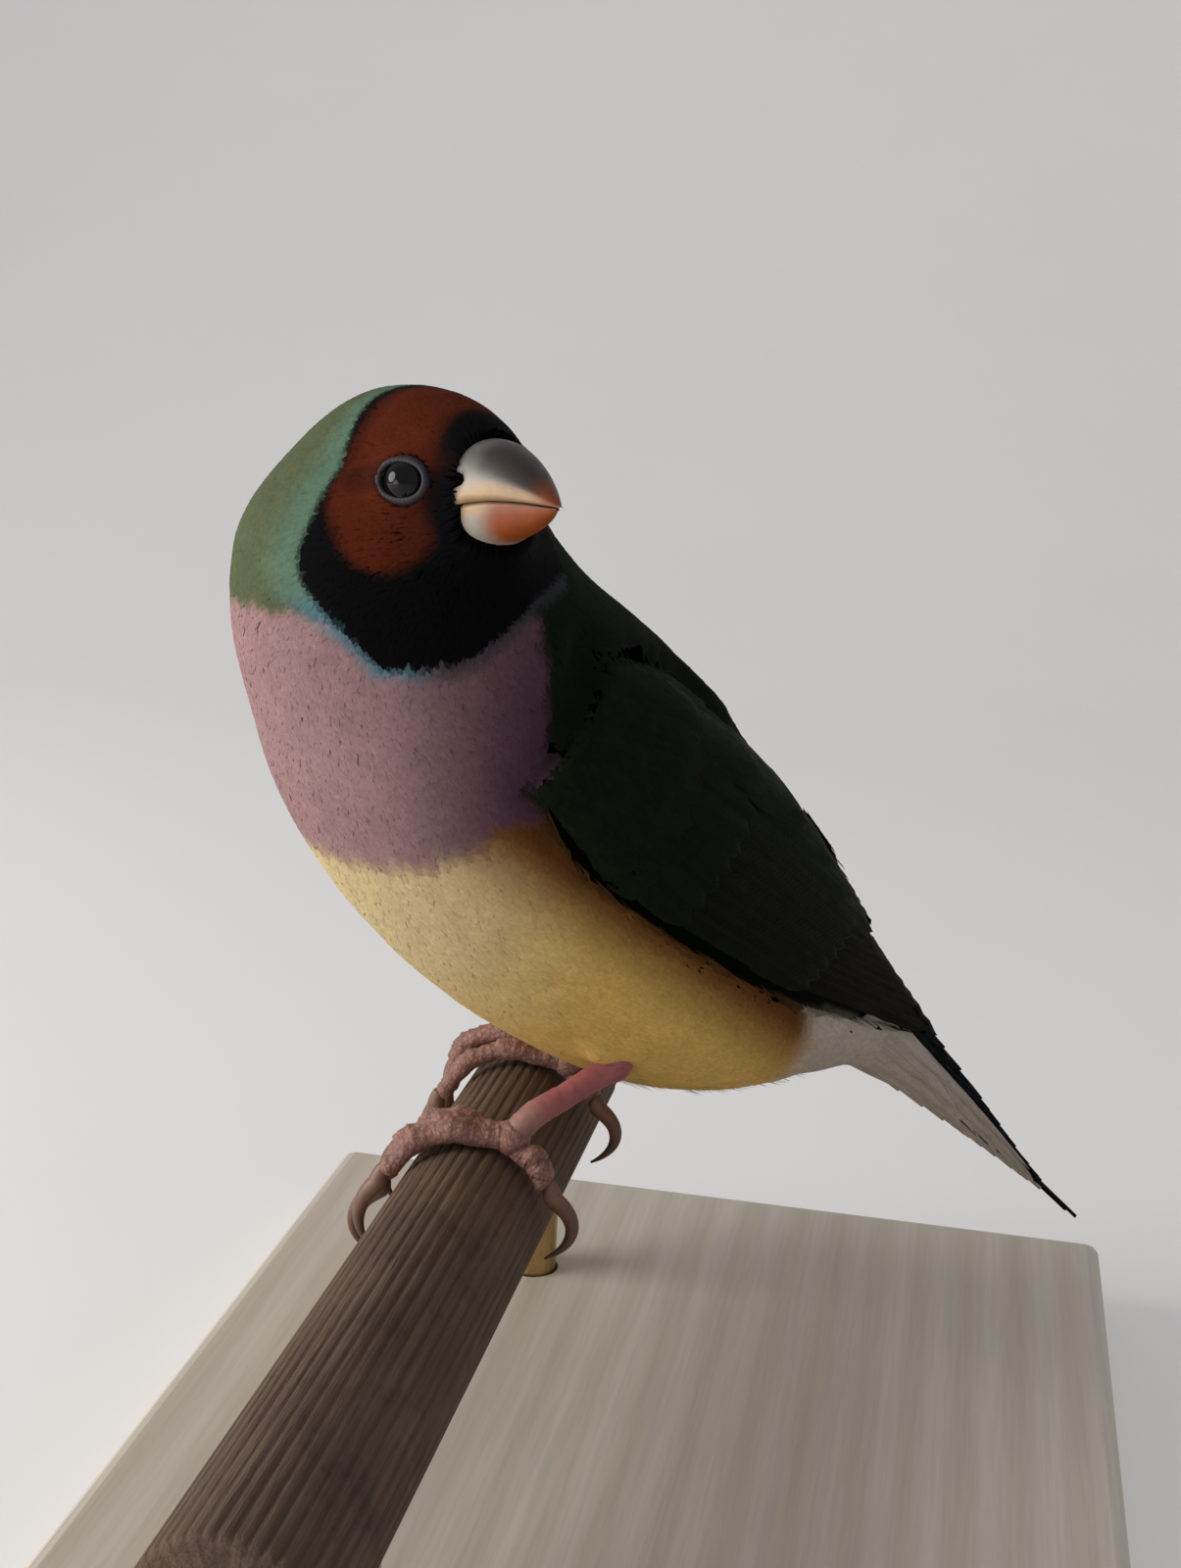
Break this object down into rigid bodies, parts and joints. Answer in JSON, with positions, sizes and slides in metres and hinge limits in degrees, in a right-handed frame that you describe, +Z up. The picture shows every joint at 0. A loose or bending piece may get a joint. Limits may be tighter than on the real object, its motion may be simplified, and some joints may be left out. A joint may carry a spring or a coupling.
{
  "type": "gouldian finch",
  "caption": "Male gouldian finch, life size, perched on a cut length of reeded dowel on a plain wooden stand, looking back over its left shoulder.",
  "frame": {"origin": "middle of the underside of the stand's base", "axes": "+Z up, +Y along the perch and the stand's long side, the bird faces -X and -Y"},
  "size_m": [0.088, 0.12, 0.1004],
  "materials": {
    "mask_red": "short dense feathers, matt",
    "breast_mauve": "soft body feathers, matt",
    "belly_yellow": "soft body feathers, matt",
    "wing_green": "firm vaned feathers, faint sheen",
    "tail_dark": "firm vaned feathers, faint sheen",
    "covert_white": "soft body feathers, matt",
    "bill_ivory": "smooth horn",
    "eye_dark": "wet and glossy",
    "leg_pink": "scaly skin",
    "claw_horn": "horn",
    "perch_wood": "worn, unvarnished",
    "stand_wood": "plain oiled",
    "stand_metal": "satin"
  },
  "bodies": {
    "root": {"head": "mask_red", "neck": "wing_green", "breast": "breast_mauve", "belly": "belly_yellow", "rump": "covert_white", "bill_upper": "bill_ivory", "bill_lower": "bill_ivory", "eye_left": "eye_dark", "eye_right": "eye_dark", "wing_left": "wing_green", "wing_right": "wing_green", "tail": "tail_dark", "tarsus_left": "leg_pink", "tarsus_right": "leg_pink", "foot_left": "leg_pink", "foot_right": "leg_pink", "claw_left_outer": "claw_horn", "claw_left_middle": "claw_horn", "claw_left_inner": "claw_horn", "claw_left_hind": "claw_horn", "claw_right_outer": "claw_horn", "claw_right_middle": "claw_horn", "claw_right_inner": "claw_horn", "claw_right_hind": "claw_horn", "perch": "perch_wood", "stand_base": "stand_wood", "stand_rod_front": "stand_metal", "stand_rod_back": "stand_metal"}
  },
  "joints": []
}
